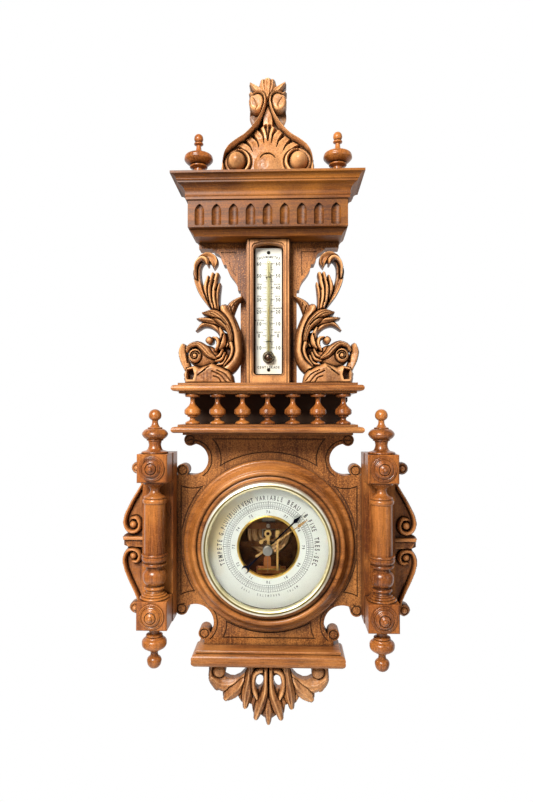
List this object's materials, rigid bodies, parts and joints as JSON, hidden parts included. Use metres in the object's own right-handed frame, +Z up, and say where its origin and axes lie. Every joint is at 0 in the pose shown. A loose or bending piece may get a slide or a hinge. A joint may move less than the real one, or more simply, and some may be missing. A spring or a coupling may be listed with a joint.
{
  "type": "wall barometer",
  "caption": "Carved walnut wall barometer with an open-dial aneroid movement, turned side columns and a boxed thermometer above.",
  "frame": {"origin": "centre of the wall hook's hole in the hanger plate, on the back plane that lies on the wall", "axes": "+Z up, +Y into the wall, +X to the right as seen from the front; the dial faces -Y"},
  "size_m": [0.3526, 0.09, 0.7597],
  "materials": {
    "walnut_board": "oiled walnut boards, open pores",
    "walnut_turned": "turned walnut, wax polish",
    "walnut_moulding": "planed walnut mouldings, wax polish",
    "walnut_carved": "hand-carved walnut, dark in the cuts and light on the edges",
    "brass": "lacquered brass, a little dull",
    "nickel": "worn nickel plate",
    "steel": "bright steel",
    "capsule_metal": "corrugated German silver",
    "blued_steel": "blued steel",
    "dial_enamel": "off-white enamelled dial with black printing",
    "scale_enamel": "off-white scale with black printing",
    "glass": "clear glass",
    "spirit": "dark red-brown spirit",
    "blackened_steel": "blackened wire and screws"
  },
  "bodies": {
    "case": {"back_board": "walnut_board", "upper_board": "walnut_board", "gallery_back": "walnut_board", "thermometer_frame": "walnut_board", "dial_ring": "walnut_turned", "cornice_finials": "walnut_turned", "balusters": "walnut_turned", "block_bosses": "walnut_turned", "columns": "walnut_turned", "pillar_finials": "walnut_turned", "pillar_drops": "walnut_turned", "cornice": "walnut_moulding", "frieze": "walnut_moulding", "bed_moulding": "walnut_moulding", "upper_shelf": "walnut_moulding", "lower_shelf": "walnut_moulding", "base_moulding": "walnut_moulding", "pilasters": "walnut_moulding", "upper_blocks": "walnut_moulding", "lower_blocks": "walnut_moulding", "crest": "walnut_carved", "dolphin_left": "walnut_carved", "dolphin_right": "walnut_carved", "side_scroll_left": "walnut_carved", "side_scroll_right": "walnut_carved", "pendant": "walnut_carved", "drum_case": "brass", "dial_rim": "brass", "hanger_plate": "brass", "movement_plate": "brass", "dial_pillars": "brass", "spring_bridge": "brass", "calibration_bracket": "brass", "arbor_bridge": "brass", "arbor_cock": "brass", "bezel": "nickel", "hanger_screws": "steel", "drum_screws": "steel", "movement_plate_screws": "steel", "movement_screws": "steel", "mainspring": "steel", "hairspring": "steel", "chain": "steel", "capsule_base": "capsule_metal", "capsule_diaphragm": "capsule_metal", "dial": "dial_enamel", "thermometer_plate": "scale_enamel", "glass": "glass", "thermometer_tube": "glass", "thermometer_liquid": "spirit", "thermometer_fixings": "blackened_steel"},
    "pressure_hand": {"pressure_hand": "blued_steel", "pointer_arbor": "steel"},
    "capsule": {"capsule_post": "brass"},
    "main_lever": {"main_lever": "steel", "link_rod": "steel"},
    "rocker": {"rocker_shaft": "brass"},
    "set_hand": {"set_hand": "brass", "set_knob": "nickel"},
    "adjusting_screw": {"adjusting_screw": "steel"}
  },
  "joints": [
    {"name": "pressure_hand_turn", "type": "hinge", "parent": "case", "child": "pressure_hand", "pos_m": [0, -0.03, -0.39], "axis": [0, 1, 0], "range_deg": [-200, 55], "stiffness_Nm_per_rad": 0.002, "deforming": ["hairspring"]},
    {"name": "capsule_travel", "type": "slide", "parent": "case", "child": "capsule", "axis": [0, 1, 0], "range_m": [-0.00064911, 0.00017851], "deforming": ["capsule_diaphragm"]},
    {"name": "main_lever_swing", "type": "hinge", "parent": "case", "child": "main_lever", "pos_m": [0, -0.0226, -0.352], "axis": [1, 0, 0], "range_deg": [-1.52, 0.42], "deforming": ["mainspring"]},
    {"name": "rocker_turn", "type": "hinge", "parent": "case", "child": "rocker", "pos_m": [0, -0.009, -0.4225], "axis": [1, 0, 0], "range_deg": [-6.94, 25.24], "deforming": ["chain"]},
    {"name": "set_hand_turn", "type": "hinge", "parent": "case", "child": "set_hand", "pos_m": [0, -0.045, -0.39], "axis": [0, 1, 0], "continuous": true},
    {"name": "adjusting_screw_turn", "type": "hinge", "parent": "case", "child": "adjusting_screw", "pos_m": [0, -0.002, -0.3765], "axis": [0, 1, 0], "range_deg": [-180, 180]}
  ],
  "couplings": [
    {"joint": "capsule_travel", "follows": "pressure_hand_turn", "m_per_rad": 0.00018231},
    {"joint": "main_lever_swing", "follows": "pressure_hand_turn", "ratio": 0.0074413},
    {"joint": "rocker_turn", "follows": "pressure_hand_turn", "ratio": -0.12371}
  ]
}
